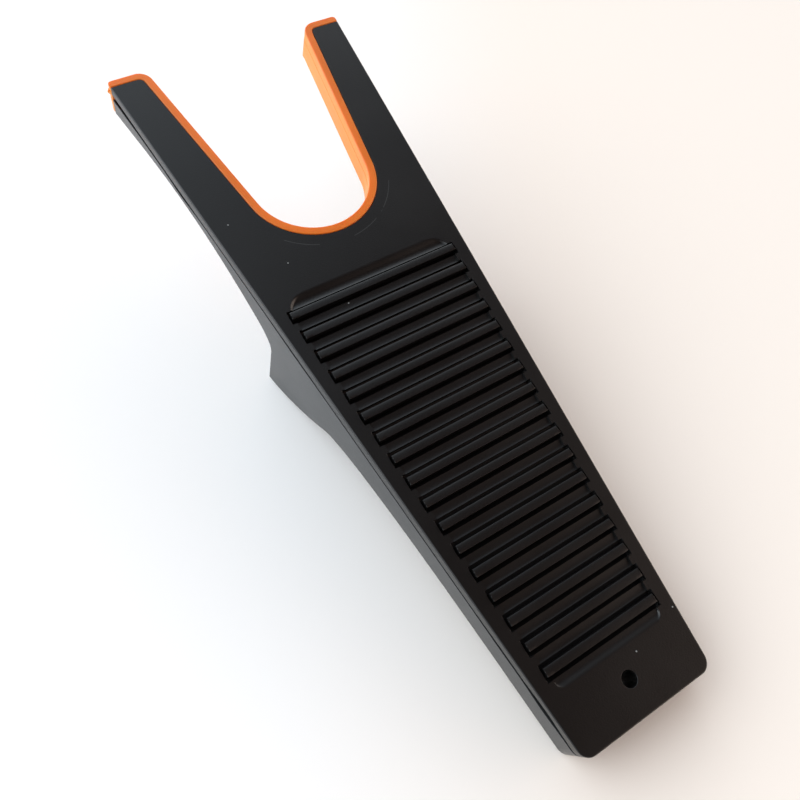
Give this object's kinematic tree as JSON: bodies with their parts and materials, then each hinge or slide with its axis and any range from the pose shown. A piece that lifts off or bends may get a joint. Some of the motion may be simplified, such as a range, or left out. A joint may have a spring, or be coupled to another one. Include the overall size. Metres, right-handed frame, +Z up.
{
  "type": "boot jack",
  "caption": "Two-shell plastic boot jack: a soft-lined heel notch on two prongs, a barred foot tread, a swept foot underneath and a hang hole in the tail.",
  "frame": {"origin": "centre of the bounding box at the floor, under the rubber pads", "axes": "+Z up from the floor, +Y from the tail towards the prong tips, +X to the right of a person who stands on the tail and faces the prongs. The plate is tilted 11.58 degrees about X, prongs up"},
  "size_m": [0.1164, 0.3264, 0.0842],
  "materials": {
    "top_plastic": "fine satin grain, black",
    "bottom_plastic": "satin, black",
    "band_rubber": "matt, orange",
    "screw_steel": "zinc plated",
    "pad_rubber": "matt, black"
  },
  "bodies": {
    "root": {"top_shell": "top_plastic", "bottom_shell": "bottom_plastic", "grip_band": "band_rubber", "screw_1": "screw_steel", "screw_2": "screw_steel", "screw_3": "screw_steel", "screw_4": "screw_steel", "screw_5": "screw_steel", "screw_6": "screw_steel", "screw_7": "screw_steel", "screw_8": "screw_steel", "toe_pad_left": "pad_rubber", "toe_pad_right": "pad_rubber", "tail_pad_left": "pad_rubber", "tail_pad_right": "pad_rubber"}
  },
  "joints": []
}
